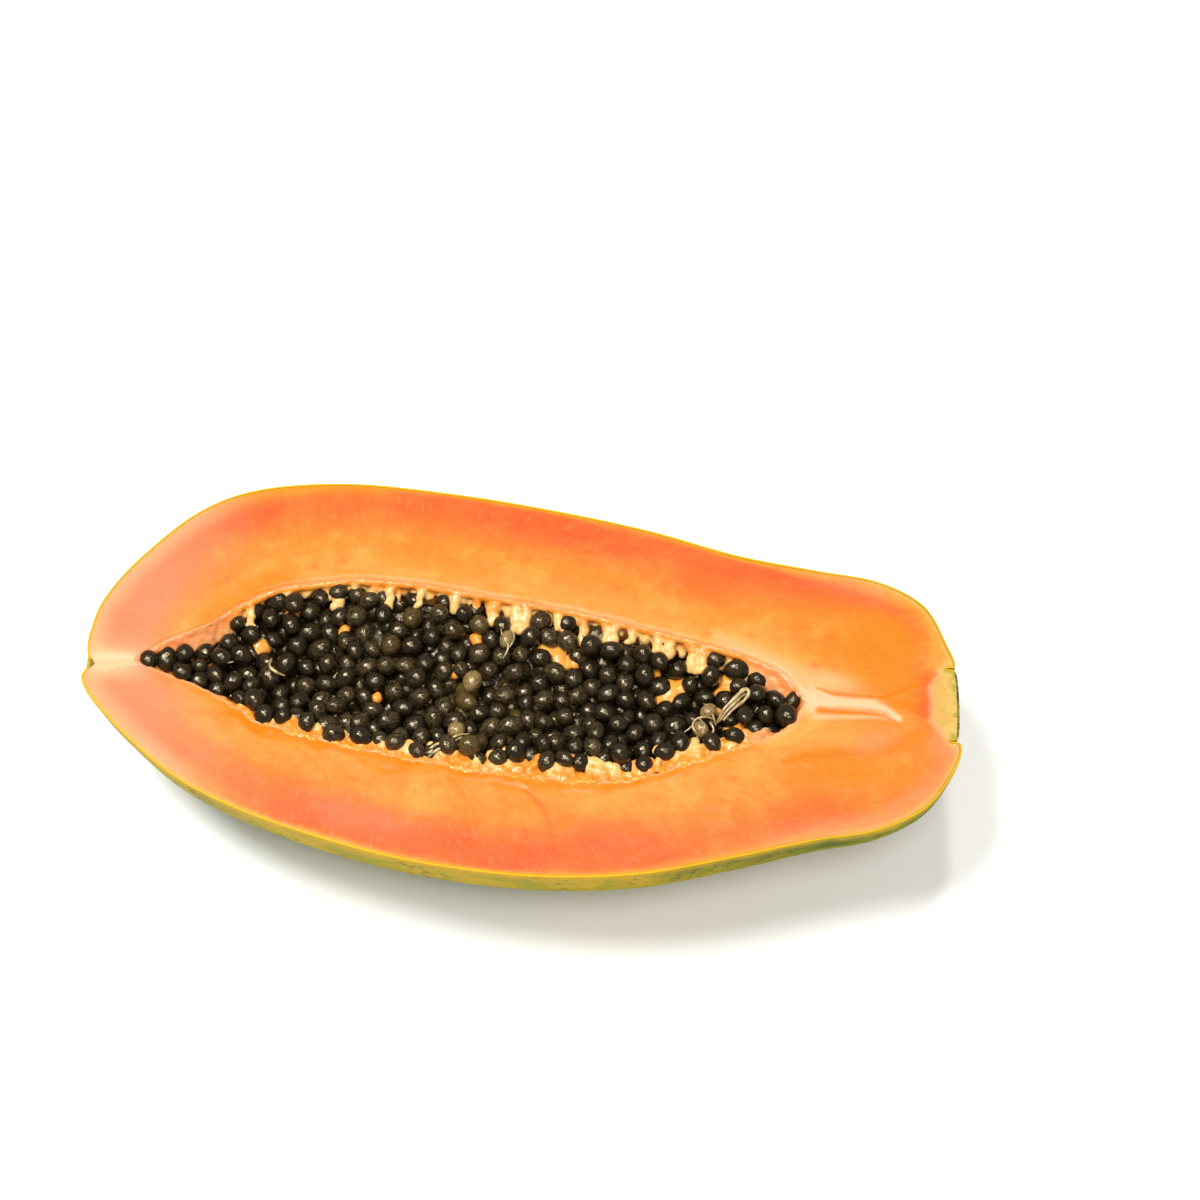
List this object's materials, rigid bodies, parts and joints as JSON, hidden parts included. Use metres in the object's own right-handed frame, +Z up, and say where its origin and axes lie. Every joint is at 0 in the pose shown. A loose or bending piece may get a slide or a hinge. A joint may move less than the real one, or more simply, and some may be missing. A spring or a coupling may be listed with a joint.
{
  "type": "papaya half",
  "caption": "Half of a long ripe papaya, cut lengthwise and lying on its skin, with orange flesh, a cavity filled with black seeds, and green and yellow skin.",
  "frame": {"origin": "on the surface that the half lies on, under the middle of the cut face, in the flat spot that it rests on", "axes": "+X along the fruit from the blossom end to the stem end, +Y across the cut face, +Z up, square to the cut face"},
  "size_m": [0.2638, 0.1253, 0.0606],
  "materials": {
    "papaya_flesh": "moist, soft satin",
    "papaya_seed": "wet gloss",
    "papaya_skin": "waxy gloss, mottled green and yellow"
  },
  "bodies": {
    "root": {"fruit": "papaya_flesh", "seeds": "papaya_seed"}
  },
  "joints": []
}
